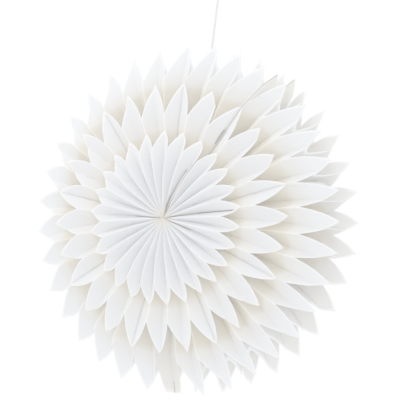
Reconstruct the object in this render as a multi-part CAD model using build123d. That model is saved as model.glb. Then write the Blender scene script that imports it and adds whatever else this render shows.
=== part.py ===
from build123d import *
import os
from math import atan, cos, degrees, radians, sin

# Paper honeycomb ball, fan type, hanging from its string.
# Millimetres. Origin at the ball's centre, +Z up along the string, fan axis along Y, front towards -Y.
# A clock angle is measured from +Z towards +X about the fan axis, in degrees.
# A depth is a distance from the ball's middle plane, the XZ plane, to the front or to the rear.

# Outside of the ball: three tiers of petals in front, and the same three behind
TIP_OUTER = 150.0            # radius of the petal tips, tier by tier
TIP_MIDDLE = 114.0
TIP_INNER = 74.0
NOTCH_OUTER = 121.0          # radius where the folds between two tips end
NOTCH_MIDDLE = 88.0
NOTCH_INNER = 58.5
DEPTH_OUTER = 16.0           # depth of each tier's glue lines
DEPTH_MIDDLE = 38.0
DEPTH_INNER = 45.0
CLIMB_OUTER = 10.0           # the outer glue lines climb by this much towards the tier in front
RISE_OUTER = 16.0            # height of the folds above the glue lines' outer ends
RISE_MIDDLE = 9.0
RISE_INNER = 9.0
MOUTH = 127.0                # radius of the cut-in edge between a front tip and the rear tip behind it

# Inner ends of the sheets, each under the tier in front of it
START_OUTER = 72.0
START_MIDDLE = 40.0
START_INNER = 12.0
START_BAND = 40.0
COVERED = 1.4                # how far a hidden fold stays behind the glue line in front of it

# Division into sectors, clockwise from the hanging leaf
SEAM_OPENING = 30.0          # the short sector between the hanging leaf and the seam
NARROW_OPENING = 39.0        # the sectors on the other side of the seam stand closer
NARROW_SECTORS = 3
WIDE_SECTORS = 5             # the rest share what is left of the circle
OUTER_CELLS = 4              # pockets side by side in a sector, outer row
INNER_CELLS = 3              # and petals in the two inner rows
SEAM_OUTER_CELLS = 3
SEAM_INNER_CELLS = 2

# Paper, boards and binding
PAPER = 0.3                  # folded sheet, measured along the fan axis
BAND = 0.3                   # two sheets glued together
LEAF = 0.4                   # divider leaf
COVER = 0.7                  # cover board
CLEAR = 0.35                 # gap between a leaf or a cover and the sheets beside it
LEAF_START = 14.0            # inner edge of a divider leaf
COVER_START = 20.0           # inner edge of a cover board
THREAD_RADIUS = 1.0          # binding thread along the fan axis
EYE_CLEARANCE = 0.15
EYE_WALL = 1.1               # paper eye that each leaf's tab makes round the binding thread
TAB_WIDTH = 6.4
TAB_GAP = 1.0
END_KNOT_RADIUS = 2.6        # knots at both ends of the binding thread
END_KNOT_LENGTH = 3.0

# Hanging string
STRING = 2.0
STRING_LENGTH = 70.0
SEAT_GAP = 0.3               # between a loop and what hangs on it
HOLE_RADIUS = 1.5            # hole in the hanging leaf
HOLE_INSET = 5.0             # from the mouth edge to the hole's centre
EYE_LOOP_RADIUS = 5.0        # small loop of string through that hole
EYE_LOOP_STRING = 1.6
FOOT_KNOT_RADIUS = 2.3
FOOT_KNOT_HEIGHT = 4.6
TOP_KNOT_RADIUS = 3.1
TOP_KNOT_HEIGHT = 5.0
KNOT_ROUND = 0.8
TOP_LOOP_RADIUS = 6.0        # half the width of the loop that goes over a hook
TOP_LOOP_HEIGHT = 17.0
TOP_LOOP_NECK = 3.0          # straight legs above the top knot

# Fastenings of the covers
PAD = 0.3                    # adhesive pads fill the gap between the two covers
PAD_LENGTH = 24.0
PAD_WIDTH = 10.0
PAD_RADII = (50.0, 92.0)
PAD_DEPTH = 20.0
STAPLE_WIRE = 0.5
STAPLE_CROWN = 9.0
STAPLE_BITE = 0.5            # how far a staple's legs go into the board
STAPLE_RADII = (62.0, MOUTH - 10)
LOWER_STAPLE_INSET = 8.0     # from the petal's tip
LOWER_STAPLE_GAP = 0.45      # over the bottom of the groove, where the wire spans it
LOWER_STAPLE_SECTOR = 4      # the petal in the ball's lowest sector that a staple closes
LOWER_STAPLE_CELL = 2

SECTORS = 1 + NARROW_SECTORS + WIDE_SECTORS
WIDE_OPENING = (360 - SEAM_OPENING - NARROW_SECTORS * NARROW_OPENING) / WIDE_SECTORS
SIDE = LEAF / 2 + CLEAR                  # where the sheets beside a leaf begin, from the leaf's plane
COVER_OFFSET = (COVER + PAD) / 2         # each cover's middle, from the seam's plane
COVER_SIDE = PAD / 2 + COVER + CLEAR
EYE_LOOP_CENTRE = MOUTH - HOLE_INSET + HOLE_RADIUS - SEAT_GAP - EYE_LOOP_STRING / 2 + EYE_LOOP_RADIUS
FOOT_KNOT_BASE = EYE_LOOP_CENTRE + EYE_LOOP_RADIUS + EYE_LOOP_STRING / 2 + SEAT_GAP
STRING_FOOT = FOOT_KNOT_BASE + FOOT_KNOT_HEIGHT
STRING_TOP = STRING_FOOT + STRING_LENGTH


def on_ray(radius, clock, along):
    """Point at a radius and a clock angle, at a distance along the fan axis."""
    turn = radians(clock)
    return (radius * sin(turn), along, radius * cos(turn))


def beside_leaf(radius, clock, offset, along):
    """Point beside a leaf: the radius runs along the leaf, the offset is clockwise from its plane."""
    turn = radians(clock)
    return (radius * sin(turn) + offset * cos(turn), along, radius * cos(turn) - offset * sin(turn))


def polygon_face(points):
    return Face(Wire.make_polygon([Vector(*point) for point in points], close=True))


def patch(a, b, c, d):
    """A quadrilateral as two triangles, folded along a-c."""
    return [polygon_face((a, b, c)), polygon_face((a, c, d))]


def folded_sheet(rows, paper):
    """Closed solid from rows of points that run outwards from the axis. The rows' surface is one skin,
    and the other is shifted by the paper's thickness along the fan axis."""
    shifted = [[(x, y + paper, z) for x, y, z in row] for row in rows]
    last_row = len(rows) - 1
    last_point = len(rows[0]) - 1
    faces = []
    for skin in (rows, shifted):
        for i in range(last_row):
            for j in range(last_point):
                faces += patch(skin[i][j], skin[i][j + 1], skin[i + 1][j + 1], skin[i + 1][j])
    for i in range(last_row):
        for j in (0, last_point):
            faces += patch(rows[i][j], rows[i + 1][j], shifted[i + 1][j], shifted[i][j])
    for i in (0, last_row):
        for j in range(last_point):
            faces += patch(rows[i][j], rows[i][j + 1], shifted[i][j + 1], shifted[i][j])
    return Solid(Shell(faces)).fix()


def between(first, last, share):
    return first + share * (last - first)


def glue_line(start, tip, depth, covered_to):
    """Bottom of a tier's grooves, as (radius, depth)."""
    return [(start, depth), (covered_to, depth), (between(covered_to, tip, 0.5), depth), (tip, depth)]


def hidden_fold(start, notch, depth, rise, arch, covered_to, covering_depth):
    """Fold that starts under the tier in front, rises in an arch beyond it and ends in the notch."""
    low = covering_depth - COVERED
    return [(start, low), (covered_to, low), (between(covered_to, notch, 0.5), depth + arch),
            (notch, depth + rise)]


GLUE_INNER = glue_line(START_INNER, TIP_INNER, DEPTH_INNER, between(START_INNER, TIP_INNER, 0.5))
GLUE_MIDDLE = glue_line(START_MIDDLE, TIP_MIDDLE, DEPTH_MIDDLE, TIP_INNER)
GLUE_OUTER = [(START_OUTER, DEPTH_OUTER + CLIMB_OUTER), (TIP_MIDDLE, DEPTH_OUTER + CLIMB_OUTER),
              (between(TIP_MIDDLE, TIP_OUTER, 0.5), DEPTH_OUTER + 0.5 * CLIMB_OUTER), (TIP_OUTER, DEPTH_OUTER)]
FOLD_INNER = [(START_INNER, DEPTH_INNER + 0.25 * RISE_INNER),
              (0.45 * NOTCH_INNER, DEPTH_INNER + 0.85 * RISE_INNER),
              (0.75 * NOTCH_INNER, DEPTH_INNER + RISE_INNER),
              (NOTCH_INNER, DEPTH_INNER + 0.7 * RISE_INNER)]
FOLD_MIDDLE = hidden_fold(START_MIDDLE, NOTCH_MIDDLE, DEPTH_MIDDLE, 0.7 * RISE_MIDDLE, RISE_MIDDLE,
                          TIP_INNER, DEPTH_INNER)
FOLD_OUTER = hidden_fold(START_OUTER, NOTCH_OUTER, DEPTH_OUTER, RISE_OUTER, 1.15 * RISE_OUTER,
                         TIP_MIDDLE, DEPTH_MIDDLE)


def tier(sector, cells, glue, fold, glue_beside_leaf, front):
    """One tier of petals between two leaves. Glue lines and folds alternate, and the first and the
    last row run beside the leaves."""
    start, opening, first_side, last_side = sector
    sign = -1 if front else 1
    rows = []
    for step in range(2 * cells + 1):
        on_glue = (step % 2 == 0) == glue_beside_leaf
        profile = [(radius, sign * depth) for radius, depth in (glue if on_glue else fold)]
        if step == 0:
            row = [beside_leaf(radius, start, first_side, along) for radius, along in profile]
        elif step == 2 * cells:
            row = [beside_leaf(radius, start + opening, -last_side, along) for radius, along in profile]
        else:
            clock = start + opening * step / (2 * cells)
            row = [on_ray(radius, clock, along) for radius, along in profile]
        rows.append(row)
    return folded_sheet(rows, -sign * PAPER)


def band(clock):
    """Glued band that joins a front tip to the rear tip behind it, with the cut-in mouth edge."""
    end = TIP_OUTER - 1
    climb = CLIMB_OUTER / (TIP_OUTER - TIP_MIDDLE)
    half = [(START_BAND, DEPTH_OUTER + CLIMB_OUTER - PAPER), (TIP_MIDDLE, DEPTH_OUTER + CLIMB_OUTER - PAPER),
            (end, DEPTH_OUTER + climb - PAPER)]
    outline = [(radius, -depth) for radius, depth in half] + [(MOUTH, 0)] + list(reversed(half))
    first, second = [[beside_leaf(radius, clock, side, along) for radius, along in outline]
                     for side in (-BAND / 2, BAND / 2)]
    faces = [polygon_face(first), polygon_face(second)]
    for i in range(len(outline)):
        k = (i + 1) % len(outline)
        faces += patch(first[i], first[k], second[k], second[i])
    return Solid(Shell(faces)).fix()


def outer_pockets(sector, cells):
    """Row of pockets that open outwards: a front tier, a rear tier and the bands between them."""
    start, opening = sector[:2]
    sheets = [tier(sector, cells, GLUE_OUTER, FOLD_OUTER, False, front) for front in (True, False)]
    bands = [band(start + opening * (cell + 0.5) / cells) for cell in range(cells)]
    return Compound(children=sheets + bands)


def inner_petals(sector, cells, front):
    """The first tier of petals round the axis and the second one under it, half a petal further on."""
    return Compound(children=[tier(sector, cells, GLUE_INNER, FOLD_INNER, False, front),
                              tier(sector, cells, GLUE_MIDDLE, FOLD_MIDDLE, True, front)])


def tab_place(number):
    """Each leaf's tab has its own place along the binding thread."""
    return (number - SECTORS / 2) * (TAB_WIDTH + TAB_GAP)


def leaf(clock, number, thickness, start, offset=0.0, end=FOLD_OUTER[2:]):
    """Flat leaf in a plane through the fan axis, with a tab whose eye runs on the binding thread."""
    half = [(start, DEPTH_INNER - TAB_WIDTH)] + [(max(radius, start), depth) for radius, depth in FOLD_INNER[1:]]
    half += [(NOTCH_INNER + 2, DEPTH_MIDDLE), (TIP_MIDDLE - 1, DEPTH_MIDDLE)] + end + [(MOUTH, 0)]
    outline = [(-depth, radius) for radius, depth in half]
    outline += [(depth, radius) for radius, depth in reversed(half[:-1])]
    card = extrude(Plane.YZ * Polygon(outline, align=None), thickness / 2, both=True)
    station = tab_place(number)
    tab = Pos(0, station, start / 2) * Box(thickness, TAB_WIDTH, start + 2)
    turned = Rot(90, 0, 0)
    bore = THREAD_RADIUS + EYE_CLEARANCE
    eye = Pos(0, station, 0) * turned * Cylinder(bore + EYE_WALL, TAB_WIDTH)
    hole = Pos(0, station, 0) * turned * Cylinder(bore, TAB_WIDTH + 1)
    return Rot(0, clock, 0) * (Pos(offset, 0, 0) * (card + tab) + eye - hole)


def cover(number, offset):
    """Cover board: a leaf that ends in a point of its own, as far out as the petals beside it."""
    end = [(between(TIP_MIDDLE, TIP_OUTER, 0.6), between(DEPTH_MIDDLE, DEPTH_OUTER, 0.42)), (TIP_OUTER - 1, DEPTH_OUTER)]
    return leaf(SEAM_OPENING, number, COVER, COVER_START, offset, end)


def hanging_leaf():
    hole = Pos(0, 0, MOUTH - HOLE_INSET) * Rot(0, 90, 0) * Cylinder(HOLE_RADIUS, 10 * LEAF)
    return leaf(0, 0, LEAF, LEAF_START) - hole


def thread_length():
    return (SECTORS + 1) * (TAB_WIDTH + TAB_GAP)


def binding_thread():
    return Rot(90, 0, 0) * Cylinder(THREAD_RADIUS, thread_length())


def thread_knots():
    """Knots that keep the leaves on the binding thread, one at each end."""
    base = thread_length() / 2
    shape = knot(END_KNOT_RADIUS, END_KNOT_LENGTH, base)
    return Compound(children=[Rot(side * 90, 0, 0) * shape for side in (-1, 1)])


def adhesive_pads():
    solids = []
    for radius in PAD_RADII:
        for side in (-1, 1):
            solids.append(Rot(0, SEAM_OPENING, 0) * Pos(0, side * PAD_DEPTH, radius)
                          * Box(PAD, PAD_LENGTH, PAD_WIDTH))
    return Compound(children=solids)


def staple(side):
    """Wire staple on a board whose face is the YZ plane; its legs go in against side."""
    wire = Pos(side * STAPLE_WIRE / 2, 0, 0) * Box(STAPLE_WIRE, STAPLE_CROWN, STAPLE_WIRE)
    for end in (-1, 1):
        wire += (Pos(-side * STAPLE_BITE / 2, end * (STAPLE_CROWN - STAPLE_WIRE) / 2, 0)
                 * Box(STAPLE_BITE, STAPLE_WIRE, STAPLE_WIRE))
    return wire


def cover_staples(side):
    """Staples that hold the end sheet to a cover, on the face away from the other cover."""
    face = side * (COVER_SIDE - CLEAR)
    return Compound(children=[Rot(0, SEAM_OPENING, 0) * Pos(face, 0, radius) * staple(side)
                              for radius in STAPLE_RADII])


def lower_staple(sectors):
    """Staple along the front glue line of one petal at the bottom of the ball, near the petal's tip."""
    start, opening = sectors[LOWER_STAPLE_SECTOR][:2]
    clock = start + opening * (LOWER_STAPLE_CELL + 0.5) / OUTER_CELLS
    slope = CLIMB_OUTER / (TIP_OUTER - TIP_MIDDLE)
    depth = DEPTH_OUTER + LOWER_STAPLE_INSET * slope + LOWER_STAPLE_GAP + STAPLE_WIRE / 2
    wire = Rot(-degrees(atan(slope)), 0, 0) * Box(STAPLE_WIRE, STAPLE_WIRE, STAPLE_CROWN)
    return Rot(0, clock, 0) * Pos(0, -depth, TIP_OUTER - LOWER_STAPLE_INSET) * wire


def knot(radius, height, base):
    shape = Cylinder(radius, height)
    shape = fillet(shape.edges().filter_by(GeomType.CIRCLE), KNOT_ROUND)
    return Pos(0, 0, base + height / 2) * shape


def eye_loop():
    return Pos(0, 0, EYE_LOOP_CENTRE) * Rot(90, 0, 0) * Torus(EYE_LOOP_RADIUS, EYE_LOOP_STRING / 2)


def hanging_string():
    return Pos(0, 0, (STRING_FOOT + STRING_TOP) / 2) * Cylinder(STRING / 2, STRING_LENGTH)


def top_loop():
    """Loop that goes over a hook. Both legs stand on the top knot."""
    base = STRING_TOP + TOP_KNOT_HEIGHT
    leg = 0.6 * STRING
    half = [(leg, 0), (leg, TOP_LOOP_NECK), (TOP_LOOP_RADIUS, 0.55 * TOP_LOOP_HEIGHT),
            (0.55 * TOP_LOOP_RADIUS, TOP_LOOP_HEIGHT)]
    points = [(-x, 0, base + z) for x, z in half] + [(x, 0, base + z) for x, z in reversed(half)]
    path = FilletPolyline(*points, radius=STRING)
    section = Plane(origin=path @ 0, z_dir=path % 0) * Circle(STRING / 2)
    return sweep(section, path=path)


def main():
    os.makedirs("parts", exist_ok=True)
    openings = [SEAM_OPENING] + [NARROW_OPENING] * NARROW_SECTORS + [WIDE_OPENING] * WIDE_SECTORS
    edges = [sum(openings[:k]) for k in range(SECTORS)]
    sectors = []
    for k in range(SECTORS):
        first_side = COVER_SIDE if k == 1 else SIDE
        last_side = COVER_SIDE if k == 0 else SIDE
        sectors.append((edges[k], openings[k], first_side, last_side))

    nodes = {
        "hanging_leaf": hanging_leaf(),
        "right_cover": cover(1, -COVER_OFFSET),
        "left_cover": cover(SECTORS, COVER_OFFSET),
        "binding_thread": binding_thread(),
        "thread_knots": thread_knots(),
        "adhesive_pads": adhesive_pads(),
        "right_cover_staples": cover_staples(-1),
        "left_cover_staples": cover_staples(1),
        "lower_staple": lower_staple(sectors),
        "eye_loop": eye_loop(),
        "foot_knot": knot(FOOT_KNOT_RADIUS, FOOT_KNOT_HEIGHT, FOOT_KNOT_BASE),
        "hanging_string": hanging_string(),
        "top_knot": knot(TOP_KNOT_RADIUS, TOP_KNOT_HEIGHT, STRING_TOP),
        "top_loop": top_loop(),
    }
    for k in range(2, SECTORS):
        nodes[f"divider_leaf_{k - 1}"] = leaf(edges[k], k, LEAF, LEAF_START)
    for k, sector in enumerate(sectors):
        outer_cells = SEAM_OUTER_CELLS if k == 0 else OUTER_CELLS
        inner_cells = SEAM_INNER_CELLS if k == 0 else INNER_CELLS
        nodes[f"outer_pockets_{k}"] = outer_pockets(sector, outer_cells)
        nodes[f"front_petals_{k}"] = inner_petals(sector, inner_cells, True)
        nodes[f"rear_petals_{k}"] = inner_petals(sector, inner_cells, False)
    for name, shape in nodes.items():
        export_step(shape, f"parts/{name}.step")


main()
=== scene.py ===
from math import atan2, ceil, cos, degrees, pi, radians, sin
from random import Random

import bmesh
import bpy
from mathutils import Matrix, Vector
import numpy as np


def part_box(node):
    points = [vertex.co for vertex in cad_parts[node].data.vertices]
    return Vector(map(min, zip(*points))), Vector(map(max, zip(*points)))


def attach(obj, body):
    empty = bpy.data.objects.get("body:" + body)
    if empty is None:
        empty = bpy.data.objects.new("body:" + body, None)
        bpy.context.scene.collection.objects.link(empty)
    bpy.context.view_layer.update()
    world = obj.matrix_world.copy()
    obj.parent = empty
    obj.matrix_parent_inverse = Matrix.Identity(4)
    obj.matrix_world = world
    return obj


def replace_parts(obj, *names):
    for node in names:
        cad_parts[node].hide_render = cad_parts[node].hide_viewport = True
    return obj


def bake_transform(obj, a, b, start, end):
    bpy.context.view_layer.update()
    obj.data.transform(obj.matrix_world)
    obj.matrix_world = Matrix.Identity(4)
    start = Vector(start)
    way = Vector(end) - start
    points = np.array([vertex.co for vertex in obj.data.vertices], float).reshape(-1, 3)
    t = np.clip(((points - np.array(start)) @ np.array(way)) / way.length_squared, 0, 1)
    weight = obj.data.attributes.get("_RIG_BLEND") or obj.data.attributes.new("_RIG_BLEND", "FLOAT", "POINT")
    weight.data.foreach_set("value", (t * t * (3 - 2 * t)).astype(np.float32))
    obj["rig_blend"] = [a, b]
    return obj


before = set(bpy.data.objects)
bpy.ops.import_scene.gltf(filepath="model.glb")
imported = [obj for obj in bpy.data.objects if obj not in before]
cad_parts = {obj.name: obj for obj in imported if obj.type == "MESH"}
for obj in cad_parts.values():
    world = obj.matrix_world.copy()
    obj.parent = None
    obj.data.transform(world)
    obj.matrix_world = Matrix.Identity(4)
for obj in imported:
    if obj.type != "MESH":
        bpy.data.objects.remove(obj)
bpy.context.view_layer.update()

mm = 0.001


def onRay(radius, clock, along):
    # clock in degrees from +Z towards +X about the fan axis, radius and along in millimetres
    turn = radians(clock)
    return Vector((radius * sin(turn), along, radius * cos(turn))) * mm


# the nine sectors of the fan, clockwise from the hanging leaf: openings in degrees, numbers of petals,
# and how far the sheets stay from the middle of a leaf or of a cover, in millimetres
fan = {"seamOpening": 30.0, "narrowOpening": 39.0, "wideOpening": 42.6, "narrow": 3, "wide": 5,
       "outerCells": 4, "innerCells": 3, "seamOuterCells": 3, "seamInnerCells": 2,
       "besideLeaf": 0.2, "besideCover": 0.86}
openings = [fan["seamOpening"]] + [fan["narrowOpening"]] * fan["narrow"] + [fan["wideOpening"]] * fan["wide"]
edges = [sum(openings[:k]) for k in range(len(openings) + 1)]
neighbours = [("ball", "right_cover"), ("left_cover", "leaf_1")]
neighbours += [(f"leaf_{k - 1}", f"leaf_{k}") for k in range(2, 8)] + [("leaf_7", "ball")]


def newPiece(name, bm, material, sharp=None):
    # sharp is the angle in degrees past which an edge stays sharp
    mesh = bpy.data.meshes.new(name)
    bm.to_mesh(mesh)
    bm.free()
    for face in mesh.polygons:
        face.use_smooth = True
    if sharp:
        mesh.set_sharp_from_angle(angle=radians(sharp))
    piece = bpy.data.objects.new(name, mesh)
    bpy.context.scene.collection.objects.link(piece)
    mesh.materials.append(material)
    return piece


# azimuth, elevation and roll in degrees, distance and aim in metres, lens in millimetres
camera = {"azimuth": 30.4446, "elevation": 1.8643, "distance": 1.13814, "roll": 7.135,
          "aim": (0.00489, 0.00356, 0.01817), "lens": 118.895}
turn, rise = radians(camera["azimuth"]), radians(camera["elevation"])
back = Vector((sin(turn) * cos(rise), -cos(turn) * cos(rise), sin(rise)))
cameraData = bpy.data.cameras.new("camera")
cameraData.lens, cameraData.sensor_width = camera["lens"], 36
cameraData.clip_start, cameraData.clip_end = 0.05, 30
eye = bpy.data.objects.new("camera", cameraData)
bpy.context.scene.collection.objects.link(eye)
eye.location = back * camera["distance"]
sight = (Vector(camera["aim"]) - eye.location).to_track_quat("-Z", "Y").to_matrix().to_4x4()
eye.rotation_euler = (sight @ Matrix.Rotation(radians(camera["roll"]), 4, "Z")).to_euler()
bpy.context.scene.camera = eye
print("camera placed")


class Wire:
    # a socket that adds Math nodes when it is used in an expression
    def __init__(self, finish, socket):
        self.finish, self.socket = finish, socket

    def sum(self, operation, first, second=0.0):
        return self.finish.node("ShaderNodeMath", {"operation": operation}, {0: first, 1: second}, 0)

    def __add__(self, other):
        return self.sum("ADD", self, other)

    __radd__ = __add__

    def __mul__(self, other):
        return self.sum("MULTIPLY", self, other)

    __rmul__ = __mul__

    def __sub__(self, other):
        return self.sum("SUBTRACT", self, other)

    def __rsub__(self, other):
        return self.sum("SUBTRACT", other, self)


class Finish:
    # the nodes of a new material, or of a world that is handed in
    def __init__(self, name, world=None):
        self.owner = world or bpy.data.materials.new(name)
        self.owner.use_nodes = True
        self.tree = self.owner.node_tree
        self.tree.nodes.clear()

    def node(self, kind, settings=None, sockets=None, output=0):
        made = self.tree.nodes.new(kind)
        for key, value in (settings or {}).items():
            setattr(made, key, value)
        for key, value in (sockets or {}).items():
            if isinstance(value, Wire):
                self.tree.links.new(value.socket, made.inputs[key])
            else:
                made.inputs[key].default_value = value
        return Wire(self, made.outputs[output]) if made.outputs else None

    def objectCoordinates(self):
        return self.node("ShaderNodeTexCoord", output="Object")

    def attribute(self, name):
        return self.node("ShaderNodeAttribute", {"attribute_name": name}, output="Fac")

    def noise(self, place, scale, detail=3.0, roughness=0.55, stretch=None):
        if stretch:
            place = self.node("ShaderNodeMapping", None, {"Vector": place, "Scale": stretch})
        sockets = {"Vector": place, "Scale": scale, "Detail": detail, "Roughness": roughness}
        return self.node("ShaderNodeTexNoise", None, sockets, "Fac")

    def smooth(self, value, low, high):
        return self.node("ShaderNodeMapRange", {"interpolation_type": "SMOOTHSTEP"},
                         {"Value": value, "From Min": low, "From Max": high}, "Result")

    def dot(self, vector, direction):
        return self.node("ShaderNodeVectorMath", {"operation": "DOT_PRODUCT"}, {0: vector, 1: direction}, "Value")

    def mix(self, share, first, second):
        return self.node("ShaderNodeMix", {"data_type": "RGBA"}, {0: share, 6: first, 7: second}, 2)

    def bump(self, height, strength, distance):
        sockets = {"Height": height, "Strength": strength, "Distance": distance}
        return self.node("ShaderNodeBump", None, sockets, "Normal")

    def shader(self, sockets):
        return self.node("ShaderNodeBsdfPrincipled", None, sockets, "BSDF")

    def finish(self, shader, kind="ShaderNodeOutputMaterial"):
        self.node(kind, None, {"Surface": shader})
        return self.owner


# colours, with painted shade for the hollows, their deep parts, the rear sheets and the gaping creases, a painted
# highlight at the cut edges, how much light goes through the sheet, and the strength of a painted glow that comes out
# at its edges and folds
paper = {"bright": (0.94, 0.95, 0.97, 1), "cloud": (0.91, 0.92, 0.95, 1), "shaded": (0.94, 0.89, 0.75, 1),
         "edge": (0.97, 0.97, 0.97, 1), "fibre": (0.80, 0.78, 0.74, 1), "paintedDeepShade": (0.76, 0.63, 0.37, 1),
         "gap": (0.19, 0.14, 0.08, 1), "closedTint": (0.80, 0.75, 0.64, 1), "through": (0.96, 0.95, 0.925, 1),
         "roughness": 0.78, "glow": 0.42, "rearPaintedShade": 0.6, "edgeLight": 0.2}
black, white = (0, 0, 0, 1), (1, 1, 1, 1)


def paperFinish():
    f = Finish("white card paper")
    place = f.objectCoordinates()
    fibres = f.noise(place, 900, 4, 0.6)
    clouds = f.noise(place, 60, 3, 0.5)
    wrinkles = f.noise(place, 150, 2, 0.5)
    colour = f.mix(f.smooth(clouds, 0.3, 0.75) * 0.5, paper["bright"], paper["cloud"])
    # painted shade: the hollows and the rear sheets take the shaded colour
    colour = f.mix(f.attribute("paintedShade") * 0.85, colour, paper["shaded"])
    # painted highlight: the cut edges are lighter
    colour = f.mix(f.smooth(f.attribute("cut"), 0.93, 0.985), colour, paper["edge"])
    colour = f.mix(f.smooth(fibres, 0.55, 0.8) * 0.15, colour, paper["fibre"])
    # painted shade: deeper and browner in the deepest hollows
    colour = f.mix(f.smooth(f.attribute("paintedShade"), 0.72, 1.0) * 0.55, colour, paper["paintedDeepShade"])
    # painted shade: near-black where the creases and the seam gape, with no opening in the shape
    colour = f.mix(f.smooth(f.attribute("gap"), 0.0, 0.6), colour, paper["gap"])
    # the stapled petal is painted a darker, warmer tone
    colour = f.mix(f.attribute("closedTint") * 0.8, colour, paper["closedTint"])
    lit = f.mix(f.smooth(f.attribute("cut"), 0.955, 0.995), black, white)  # painted glow: an emission at the cut edges standing in for light through the paper
    lit = f.mix(f.smooth(f.attribute("fold"), 0.3, 1.0) * 0.6, lit, white)  # and painted glow on the folds
    height = fibres * 0.4 + wrinkles * 0.6
    sheet = f.shader({"Base Color": colour, "Roughness": fibres * 0.12 + (paper["roughness"] - 0.06),
                      "Specular IOR Level": 0.25, "Emission Color": lit, "Emission Strength": paper["edgeLight"],
                      "Normal": f.bump(height, 0.25, 0.0003)})
    through = f.node("ShaderNodeBsdfTranslucent", None, {"Color": paper["through"]})
    return f.finish(f.node("ShaderNodeMixShader", None, {0: paper["glow"], 1: sheet, 2: through}))


board = {"light": (0.87, 0.84, 0.76, 1), "dark": (0.83, 0.79, 0.70, 1), "speck": (0.55, 0.49, 0.40, 1),
         "seamShade": (0.16, 0.13, 0.10, 1)}


def boardFinish():
    f = Finish("cream cover board")
    place = f.objectCoordinates()
    fibres = f.noise(place, 700, 5, 0.65)
    clouds = f.noise(place, 45, 3, 0.5)
    specks = f.smooth(f.noise(place, 1500, 2, 0.5), 0.66, 0.74)
    colour = f.mix(f.smooth(clouds, 0.35, 0.7), board["light"], board["dark"])
    colour = f.mix(specks * 0.35, colour, board["speck"])
    seam = radians(fan["seamOpening"])
    acrossSeam = (cos(seam), 0, -sin(seam))
    away = f.dot(place, acrossSeam)
    flat = f.dot(f.node("ShaderNodeTexCoord", output="Normal"), acrossSeam)
    # the cut edge close to the other cover is painted near-black: painted shade in the seam between the covers
    seamShadeMask = (1 - f.smooth(away * away, 0.00000012, 0.0000004)) * (1 - flat * flat)
    colour = f.mix(seamShadeMask * 0.9, colour, board["seamShade"])
    return f.finish(f.shader({"Base Color": colour, "Roughness": fibres * 0.15 + 0.72, "Specular IOR Level": 0.3,
                              "Normal": f.bump(fibres, 0.35, 0.0002)}))


def threadFinish(name, light, dark, stretch):
    f = Finish(name)
    place = f.objectCoordinates()
    fibres = f.noise(place, 2200, 4, 0.6, stretch)
    fuzz = f.noise(place, 500, 3, 0.6)
    colour = f.mix(f.smooth(fibres, 0.35, 0.7), dark, light)
    colour = f.mix(f.smooth(fuzz, 0.5, 0.75) * 0.3, colour, light)
    return f.finish(f.shader({"Base Color": colour, "Roughness": fibres * 0.1 + 0.82, "Sheen Weight": 0.25,
                              "Normal": f.bump(fibres + fuzz * 0.5, 0.6, 0.0002)}))


steel = {"bright": (0.22, 0.21, 0.20, 1), "dull": (0.10, 0.085, 0.07, 1), "metallic": 0.9}


def steelFinish():
    f = Finish("dark staple wire")
    place = f.objectCoordinates()
    drawn = f.noise(place, 900, 3, 0.6, (1, 0.08, 1))
    dull = f.noise(place, 160, 3, 0.5)
    colour = f.mix(f.smooth(dull, 0.4, 0.7), steel["bright"], steel["dull"])
    return f.finish(f.shader({"Base Color": colour, "Metallic": steel["metallic"], "Roughness": drawn * 0.25 + 0.32,
                              "Normal": f.bump(drawn, 0.3, 0.0001)}))


pad = {"pore": (0.80, 0.77, 0.68, 1), "foam": (0.88, 0.86, 0.79, 1)}


def padFinish():
    f = Finish("adhesive pad foam")
    place = f.objectCoordinates()
    pores = f.noise(place, 1800, 3, 0.6)
    colour = f.mix(f.smooth(pores, 0.4, 0.65), pad["pore"], pad["foam"])
    return f.finish(f.shader({"Base Color": colour, "Roughness": 0.9, "Normal": f.bump(pores, 0.5, 0.0002)}))


paperMaterial, boardMaterial, steelMaterial, padMaterial = paperFinish(), boardFinish(), steelFinish(), padFinish()
stringMaterial = threadFinish("twisted cotton string", (0.86, 0.86, 0.86, 1), (0.62, 0.61, 0.60, 1), None)
threadMaterial = threadFinish("waxed binding thread", (0.90, 0.89, 0.85, 1), (0.70, 0.68, 0.62, 1), (1, 0.15, 1))
print("finishes made")


# the hanging string with its loops and knots, in millimetres
string = {"diameter": 2.0, "strands": 3, "pitch": 7.0, "resolution": 24, "eyeDiameter": 1.6, "eyePitch": 5.5,
          "footKnot": 1.5, "topKnot": 2.0, "knotPitch": 5.0}
foot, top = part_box("hanging_string")[0].z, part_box("hanging_string")[1].z
stringRoute = [(0, 0, foot), (0, 0, foot + 0.012), (0, 0, top - 0.012), (0, 0, top)]
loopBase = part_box("top_loop")[0].z
loopRoute = [(-0.0012, 0, loopBase), (-0.0012, 0, loopBase + 0.003), (-0.006, 0, loopBase + 0.00935),
             (-0.0033, 0, loopBase + 0.017), (0.0033, 0, loopBase + 0.017), (0.006, 0, loopBase + 0.00935),
             (0.0012, 0, loopBase + 0.003), (0.0012, 0, loopBase)]


def smoothCurve(name, route, resolution):
    curve = bpy.data.curves.new(name, "CURVE")
    curve.dimensions, curve.resolution_u = "3D", resolution
    spline = curve.splines.new("NURBS")
    spline.points.add(len(route) - 1)
    for point, place in zip(spline.points, route):
        point.co = (*place, 1)
    spline.order_u, spline.use_endpoint_u = 3, True
    return curve


def meshOf(curve):
    # the curve's mesh, in place of the curve
    holder = bpy.data.objects.new(curve.name, curve)
    mesh = bpy.data.meshes.new_from_object(holder)
    bpy.data.objects.remove(holder)
    bpy.data.curves.remove(curve)
    return mesh


def linePoints(route):
    mesh = meshOf(smoothCurve("route", route, string["resolution"]))
    points = [vertex.co.copy() for vertex in mesh.vertices]
    bpy.data.meshes.remove(mesh)
    return points


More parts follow.
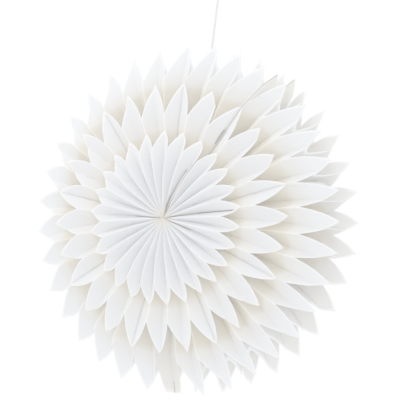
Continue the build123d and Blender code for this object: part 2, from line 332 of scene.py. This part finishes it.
def evenly(points, step):
    # the same line with its points at even steps, as (place, distance, direction)
    lengths = [0.0]
    for first, second in zip(points, points[1:]):
        lengths.append(lengths[-1] + (second - first).length)
    count = max(2, ceil(lengths[-1] / step))
    rows, k = [], 0
    for i in range(count + 1):
        want = lengths[-1] * i / count
        while k < len(lengths) - 2 and lengths[k + 1] < want:
            k += 1
        span = lengths[k + 1] - lengths[k]
        share = (want - lengths[k]) / span if span > 1e-12 else 0.0
        rows.append((points[k].lerp(points[k + 1], share), want, (points[k + 1] - points[k]).normalized()))
    return rows, lengths[-1]


def twisted(name, points, diameter, pitch, side, closed=False):
    # a rope of strands that turn round the line
    rows, total = evenly(points, pitch * mm / 14)
    turns = total / (pitch * mm)
    if closed:
        turns = round(turns)
    strands = string["strands"]
    strand = diameter * mm * 0.5 * 0.54
    orbit = diameter * mm * 0.5 - strand
    bm = bmesh.new()
    for k in range(strands):
        curve = bpy.data.curves.new("strand", "CURVE")
        curve.dimensions, curve.bevel_depth, curve.bevel_resolution = "3D", strand, 2
        curve.use_fill_caps = not closed
        spline = curve.splines.new("POLY")
        spline.points.add(len(rows) - 1 - (1 if closed else 0))
        for point, (place, far, direction) in zip(spline.points, rows):
            first = (side - direction * side.dot(direction)).normalized()
            second = direction.cross(first)
            angle = 2 * pi * (turns * far / total + k / strands)
            point.co = (*(place + (first * cos(angle) + second * sin(angle)) * orbit), 1)
        spline.use_cyclic_u = closed
        mesh = meshOf(curve)
        bm.from_mesh(mesh)
        bpy.data.meshes.remove(mesh)
    bmesh.ops.recalc_face_normals(bm, faces=bm.faces)
    return newPiece(name, bm, stringMaterial)


def knotPoints(low, high, wide):
    # a trefoil fitted to the knot's own height and width
    middle, half = (low + high) / 2, (high - low) / 2
    points = []
    for i in range(60):
        t = 2 * pi * i / 60
        x, y, z = sin(t) + 2 * sin(2 * t), cos(t) - 2 * cos(2 * t), -sin(3 * t)
        points.append(Vector((z * wide * 0.55, x / 3 * wide, middle + y / 3 * half)))
    return points + [points[0]]


straight = linePoints(stringRoute)
diameter, pitch = string["diameter"], string["pitch"]
hangingString = twisted("hangingString", straight, diameter, pitch, Vector((1, 0, 0)))
topLoop = twisted("topLoop", linePoints(loopRoute), diameter * 0.98, pitch, Vector((0, 1, 0)))
low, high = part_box("eye_loop")
ringRadius, middle = high.x - string["eyeDiameter"] * mm / 2, (low.z + high.z) / 2
ring = [Vector((ringRadius * cos(2 * pi * i / 48), 0, middle + ringRadius * sin(2 * pi * i / 48))) for i in range(49)]
eyeLoop = twisted("eyeLoop", ring, string["eyeDiameter"], string["eyePitch"], Vector((0, 1, 0)), True)
knots = []
for node, name in (("foot_knot", "footKnot"), ("top_knot", "topKnot")):
    low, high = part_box(node)
    edge = string[name] * mm / 2
    points = knotPoints(low.z + edge, high.z - edge, high.x - edge)
    knots.append(twisted(name, points, string[name], string["knotPitch"], Vector((0, 1, 0.3)), True))
footKnot, topKnot = knots
for piece, node, body in ((hangingString, "hanging_string", "hanger"), (topLoop, "top_loop", "hanger"),
                          (eyeLoop, "eye_loop", "ball"), (footKnot, "foot_knot", "hanger"),
                          (topKnot, "top_knot", "hanger")):
    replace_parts(piece, node)
    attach(piece, body)
print("string made")


# the three tiers of petals: radii and depths in millimetres, then the numbers of steps across a wall and outwards;
# glue is the depth of the creases and fold that of the folds, which rise and fall over foldSpan from foldFrom outwards;
# the hollows get painted shade from openFrom inwards, and none past openTo
innerTier = {"start": 0.5, "tip": 74.0, "notch": 58.5, "glue": 45.0, "climb": 0.0, "climbLength": 36.0,
             "fold": 45.0, "rise": 9.0, "turn": 0.72, "bend": 1.12,
             "sag": 0.35, "openFrom": 1.0, "openTo": 16.0, "across": 6, "outward": 26}
middleTier = {"start": 34.0, "tip": 114.0, "notch": 87.0, "glue": 38.0, "climb": 0.0, "climbLength": 36.0,
              "fold": 44.2, "rise": 3.0, "fall": 0.9, "foldFrom": 74.0, "foldSpan": 14.0,
              "sag": 0.5, "openFrom": 66.0, "openTo": 96.0, "across": 6, "outward": 22}
outerTier = {"start": 60.0, "tip": 149.9, "notch": 120.0, "glue": 16.0, "climb": 10.0, "climbLength": 36.0,
             "fold": 36.9, "rise": 1.0, "fall": 3.6, "foldFrom": 112.0, "foldSpan": 9.0,
             "sag": 0.5, "openFrom": 104.0, "openTo": 136.0, "across": 6, "outward": 24}
band = {"start": 42.0, "mouth": 124.0, "behind": 0.1, "short": 0.2, "across": 8, "outward": 18}
# stapled shut, with its tip cut off almost straight
closedCell = {"sector": 4, "cell": 2, "tip": 146.5, "crown": 1.5, "flat": 0.6, "drop": 62.0}
uneven = {"seed": 11, "fold": 0.1, "tip": 1.6, "crease": 0.1}
# creases near the pole that gape get painted shade, not an opening in the shape
shadePaintedCreases = [(21.0, 46.0, 2.8), (70.0, 66.0, 1.2), (96.0, 30.0, 1.0), (262.0, 26.0, 1.0)]  # clock, length, width
creaseFrom = 2.0  # they start this far from the pole
seamSlitShade = (76.0, 90.0, 0.9)  # from, to and width of painted shade where the seam gapes behind the inner petals, with no opening in the shape
noSlitShade = (0.0, 0.0, 1.0)
overLeaf = 0.4  # how far the sheets lie over a leaf's edge
paperThickness = 0.3
# per-point masks for painted shade, the cut edge, the stapled petal's tone, painted shade in gaping creases, and
# painted glow on the folds
layers = ("paintedShade", "cut", "closedTint", "gap", "fold")
chance = Random(uneven["seed"])


def innerRidge(radius):
    tier = innerTier
    return tier["fold"] + tier["rise"] * sin(pi * tier["turn"] * (radius / tier["notch"]) ** tier["bend"])


def middleRidge(radius):
    # rises to its full height and stays there
    tier = middleTier
    share = max(0.0, (radius - tier["foldFrom"]) / tier["foldSpan"])
    return tier["fold"] + tier["rise"] * sin(pi * min(share, 1.0) * 0.5) - tier["fall"] * share


def outerRidge(radius):
    # a low arch that falls towards the notch
    tier = outerTier
    share = max(0.0, (radius - tier["foldFrom"]) / tier["foldSpan"])
    return tier["fold"] + tier["rise"] * sin(pi * min(share, 1.0)) - tier["fall"] * share


def glueDepth(tier, radius):
    # the outer creases climb towards the tier in front
    return tier["glue"] + tier["climb"] * min(1.0, max(0.0, (tier["tip"] - radius) / tier["climbLength"]))


def smoothStep(value, low, high):
    share = min(1.0, max(0.0, (value - low) / (high - low)))
    return share * share * (3 - 2 * share)


def creaseOf(tier, clock, outward, wobble):
    # paper sags, so a petal's crease lies nearer to its lower fold the further out it is
    lower = sin(radians(clock + 8))
    return (tier["sag"] * max(-1.0, min(1.0, 2.2 * lower)) + wobble) * outward ** 1.4


def endOf(tier, place, tip):
    # the radius of the cut edge, from the tip at 0 to the notch at 1
    place = abs(place)
    return tip - (tip - tier["notch"]) * (0.72 * place + 0.28 * place ** 2.5)


def wall(bm, tier, ridge, cell, side, front):
    # one wall of a petal, from its crease at 0 to its fold at 1
    made = bmesh.ops.create_grid(bm, x_segments=tier["across"], y_segments=tier["outward"], size=0.5)
    paintedShade, cut, closedTint, gap, foldGlowMask = [bm.verts.layers.float[key] for key in layers]
    sign = -1 if front else 1
    fold, otherFold = cell["foldBefore"], cell["foldAfter"]
    if side > 0:
        fold, otherFold = otherFold, fold
    nearest, furthest, slitShadeWidth = cell["gap"]
    for vertex in made["verts"]:
        across, outward = vertex.co.x + 0.5, vertex.co.y + 0.5
        crease = 0.0 if cell["onLeaf"] or cell["closed"] else creaseOf(tier, cell["clock"], outward, cell["wobble"])
        split = 1 / 3 if crease * side < 0 else 0.0
        if split and across < split:  # the tip is on this wall, so one row of points runs to it
            place = crease * (1 - across / split)
        else:
            place = (across - split) / (1 - split) * side + (0.0 if split else crease * (1 - across))
        end = endOf(tier, place, cell["tip"])
        if cell["closed"]:
            end = closedCell["tip"] - closedCell["crown"] * place * place
            end -= closedCell["drop"] * max(0.0, abs(place) - closedCell["flat"])
        radius = tier["start"] + (end - tier["start"]) * outward
        height = abs(place - crease) / abs(side - crease)
        low = glueDepth(tier, radius) + (overLeaf if cell["onLeaf"] and not cell["besideSeam"] else 0.0)
        depth = low + (ridge(radius) - low) * height ** 0.92
        clock = cell["clock"] + abs(place) * ((fold if place * side >= 0 else otherFold) - cell["clock"])
        if not (cell["onLeaf"] and not cell["besideSeam"] and across < 0.5):
            clock += degrees(cell["aside"](clock) / max(radius, 5.0))
        vertex.co = onRay(radius, clock, sign * depth)
        inTheOpen = smoothStep(radius, tier["openFrom"], tier["openTo"])
        # painted shade: full in the hollows, none in the open, and at least a set share on the rear sheets
        vertex[paintedShade] = max(0.0 if front else paper["rearPaintedShade"], 1 - inTheOpen)
        vertex[cut] = outward
        # the stapled petal's darker, warmer tone
        vertex[closedTint] = 1.0 if cell["closed"] else 0.0
        wide = across * radians(abs(fold - cell["clock"])) * radius
        # painted shade along a gaping crease, narrowing away from it
        vertex[gap] = max(0.0, 1 - wide / slitShadeWidth) if nearest < radius < furthest else 0.0
        # painted glow along the front folds
        vertex[foldGlowMask] = 1.0 if across > 0.99 and front else 0.0


def gluedBand(bm, tier, cell):
    # joins the front crease to the rear one, with the cut-in mouth edge
    made = bmesh.ops.create_grid(bm, x_segments=band["across"], y_segments=band["outward"], size=0.5)
    paintedShade, cut = bm.verts.layers.float["paintedShade"], bm.verts.layers.float["cut"]
    lean = creaseOf(tier, cell["clock"], 1.0, cell["wobble"])
    tip = endOf(tier, lean, cell["tip"]) - band["short"]
    for vertex in made["verts"]:
        along, outward = vertex.co.x * 2, vertex.co.y + 0.5
        end = band["mouth"] + (tip - band["mouth"]) * abs(along) ** 1.25
        radius = band["start"] + (end - band["start"]) * outward
        share = max(0.0, (radius - tier["start"]) / (tip - tier["start"]))
        crease = creaseOf(tier, cell["clock"], min(1.0, share), cell["wobble"])
        fold = cell["foldAfter"] if crease > 0 else cell["foldBefore"]
        clock = cell["clock"] + abs(crease) * (fold - cell["clock"])
        vertex.co = onRay(radius, clock, (glueDepth(tier, radius) - band["behind"]) * along)
        # painted shade inside the pocket, lighter towards its mouth
        vertex[paintedShade] = 1 - 0.8 * outward
        vertex[cut] = outward


def sheetPiece(name, fill, sector):
    # fill adds the sheets of one sector, which close like an accordion between the two leaves
    bm = bmesh.new()
    for key in layers:
        bm.verts.layers.float.new(key)
    fill(bm)
    bmesh.ops.remove_doubles(bm, verts=bm.verts, dist=0.00001)
    bmesh.ops.recalc_face_normals(bm, faces=bm.faces)
    piece = newPiece(name, bm, paperMaterial, 22)
    thick = piece.modifiers.new("thickness", "SOLIDIFY")
    thick.thickness, thick.offset = paperThickness * mm, 0
    first, last = neighbours[sector]
    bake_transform(piece, first, last, onRay(100, edges[sector], 0), onRay(100, edges[sector + 1], 0))
    # a point's share is by its clock, so the folds keep their order while the sector closes
    middle = (edges[sector] + edges[sector + 1]) / 2
    weights = piece.data.attributes["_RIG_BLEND"].data
    for vertex in piece.data.vertices:
        away = (degrees(atan2(vertex.co.x, vertex.co.z)) - middle + 180) % 360 - 180
        weights[vertex.index].value = min(1.0, max(0.0, 0.5 + away / openings[sector]))
    return piece


def keepAside(sector):
    # the sheets leave room for the leaf or the cover at both ends of a sector, over a twelfth of its width
    first = fan["besideCover"] if sector == 1 else fan["besideLeaf"]
    last = fan["besideCover"] if sector == 0 else fan["besideLeaf"]

    def offset(clock):
        share = (clock - edges[sector]) / openings[sector]
        return first * max(0.0, 1 - share * 12) - last * max(0.0, 1 - (1 - share) * 12)
    return offset


def tierOf(bm, tier, ridge, sector, cells, tipOnLeaf, front):
    step = openings[sector] / (2 * cells)
    folds = [edges[sector] + step * (2 * k + tipOnLeaf) for k in range(cells + 1 - tipOnLeaf)]
    for k in range(len(folds)):
        if edges[sector] < folds[k] < edges[sector + 1]:
            folds[k] += chance.uniform(-1, 1) * uneven["fold"] * step
    if tipOnLeaf:
        folds = [None] + folds + [None]  # half a petal at each end
    made = []
    for k in range(len(folds) - 1):
        clock = edges[sector] + step * (2 * k + 1 - tipOnLeaf)
        closed = tier is outerTier and front and (sector, k) == (closedCell["sector"], closedCell["cell"])
        onLeaf = tipOnLeaf and k in (0, cells)
        cell = {"clock": clock, "foldBefore": folds[k], "foldAfter": folds[k + 1], "aside": keepAside(sector),
                "closed": closed, "onLeaf": onLeaf, "besideSeam": (sector, k) in ((0, cells), (1, 0)), "gap": noSlitShade,
                "tip": tier["tip"] - (0 if onLeaf else chance.random() * uneven["tip"]),
                "wobble": chance.uniform(-1, 1) * uneven["crease"]}
        for place, far, width in shadePaintedCreases:
            if tier is innerTier and front and abs(place - clock) < step:
                cell["gap"] = (creaseFrom, far, width)
        if tier is middleTier and front and cell["besideSeam"]:
            cell["gap"] = seamSlitShade
        for side, fold in ((-1, folds[k]), (1, folds[k + 1])):
            if fold is not None:
                wall(bm, tier, ridge, cell, side, front)
        made.append(cell)
    return made


for sector in range(len(openings)):
    outerCells = fan["seamOuterCells"] if sector == 0 else fan["outerCells"]
    innerCells = fan["seamInnerCells"] if sector == 0 else fan["innerCells"]

    def petals(front):
        def fill(bm):
            tierOf(bm, innerTier, innerRidge, sector, innerCells, False, front)
            tierOf(bm, middleTier, middleRidge, sector, innerCells, True, front)
        return fill

    def pockets(bm):
        for cell in tierOf(bm, outerTier, outerRidge, sector, outerCells, False, True):
            gluedBand(bm, outerTier, cell)
        tierOf(bm, outerTier, outerRidge, sector, outerCells, False, False)

    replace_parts(sheetPiece(f"frontPetals{sector}", petals(True), sector), f"front_petals_{sector}")
    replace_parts(sheetPiece(f"rearPetals{sector}", petals(False), sector), f"rear_petals_{sector}")
    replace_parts(sheetPiece(f"outerPockets{sector}", pockets, sector), f"outer_pockets_{sector}")
print("petals made")


# the staple on the closed petal: its middle stands in from the tip by the inset, and its legs go into the paper
staple = {"wire": 0.5, "crown": 9.0, "inset": 7.9, "corner": 0.5, "shoulder": 0.55, "lift": 0.7, "bite": 0.8}


def bentWire(name, points, thickness, material):
    curve = smoothCurve("wire", points, 8)
    curve.bevel_depth, curve.bevel_resolution, curve.use_fill_caps = thickness * mm / 2, 3, True
    bm = bmesh.new()
    mesh = meshOf(curve)
    bm.from_mesh(mesh)
    bpy.data.meshes.remove(mesh)
    bmesh.ops.recalc_face_normals(bm, faces=bm.faces)
    return newPiece(name, bm, material)


home = closedCell["sector"]
share = (closedCell["cell"] + 0.5) / fan["outerCells"]
outerEnd = outerTier["tip"] - staple["inset"] + staple["crown"] / 2
wirePath = []
halfWire = [(0, -staple["bite"]), (0, staple["shoulder"]), (staple["corner"], staple["lift"])]
otherHalf = [(staple["crown"] - inwards, lift) for inwards, lift in reversed(halfWire)]
for inwards, lift in halfWire + [(staple["crown"] / 2, staple["lift"])] + otherHalf:
    radius = outerEnd - inwards
    wirePath.append(onRay(radius, edges[home] + openings[home] * share, -(glueDepth(outerTier, radius) + lift)))
lowerStaple = bentWire("lowerStaple", wirePath, staple["wire"], steelMaterial)
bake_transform(lowerStaple, *neighbours[home], onRay(100, edges[home], 0), onRay(100, edges[home + 1], 0))
for weight in lowerStaple.data.attributes["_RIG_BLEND"].data:
    weight.value = share  # the whole staple turns with the crease that it sits on
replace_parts(lowerStaple, "lower_staple")
print("staple made")


# the leaves, covers and fastenings keep their CAD shapes
carried = {"hanging_leaf": paperMaterial, "right_cover": boardMaterial, "left_cover": boardMaterial,
           "binding_thread": threadMaterial, "thread_knots": threadMaterial, "adhesive_pads": padMaterial,
           "right_cover_staples": steelMaterial, "left_cover_staples": steelMaterial}
carried.update({f"divider_leaf_{k}": paperMaterial for k in range(1, 8)})
for node, material in carried.items():
    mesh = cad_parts[node].data
    mesh.materials.clear()
    mesh.materials.append(material)
print("leaves and covers finished")


# floor and light: sizes and places in metres, powers in watts
studio = {"floorDepth": 1.1, "floorSize": 2.4, "floorColour": (0.74, 0.74, 0.74, 1),
          "skyColour": (0.91, 0.94, 1.0, 1), "skyStrength": 0.96, "gamma": 2.8,
          "keyPlace": (-1.0, -0.9, 1.5), "keyPower": 9, "keySize": 0.9, "keyColour": (0.96, 0.97, 1.0),
          "fillPlace": (1.6, -1.2, 0.2), "fillPower": 0.3, "fillSize": 1.2, "fillColour": (1.0, 0.98, 0.95)}
bm = bmesh.new()
bmesh.ops.create_grid(bm, x_segments=1, y_segments=1, size=studio["floorSize"] / 2)
bmesh.ops.translate(bm, verts=bm.verts, vec=(0, 0, -studio["floorDepth"]))
pale = Finish("pale floor")
newPiece("floor", bm, pale.finish(pale.shader({"Base Color": studio["floorColour"], "Roughness": 0.9})))

# the background is seen white, and lights the ball a little less
world = bpy.data.worlds.new("studio")
bpy.context.scene.world = world
sky = Finish("studio", world)
seen = sky.node("ShaderNodeLightPath", output="Is Camera Ray")
soft = sky.node("ShaderNodeBackground", None, {"Color": studio["skyColour"], "Strength": studio["skyStrength"]})
plain = sky.node("ShaderNodeBackground", None, {"Color": white, "Strength": 1.0})
sky.finish(sky.node("ShaderNodeMixShader", None, {0: seen, 1: soft, 2: plain}), "ShaderNodeOutputWorld")


def softbox(name):
    place = Vector(studio[name + "Place"])
    data = bpy.data.lights.new(name, "AREA")
    data.energy, data.shape = studio[name + "Power"], "DISK"
    data.size, data.color = studio[name + "Size"], studio[name + "Colour"]
    lamp = bpy.data.objects.new(name, data)
    lamp.location = place
    lamp.rotation_euler = (-place).to_track_quat("-Z", "Y").to_euler()
    bpy.context.scene.collection.objects.link(lamp)


softbox("key")
softbox("fill")
bpy.context.scene.view_settings.view_transform = "Standard"
bpy.context.scene.view_settings.gamma = studio["gamma"]
print("studio lit")
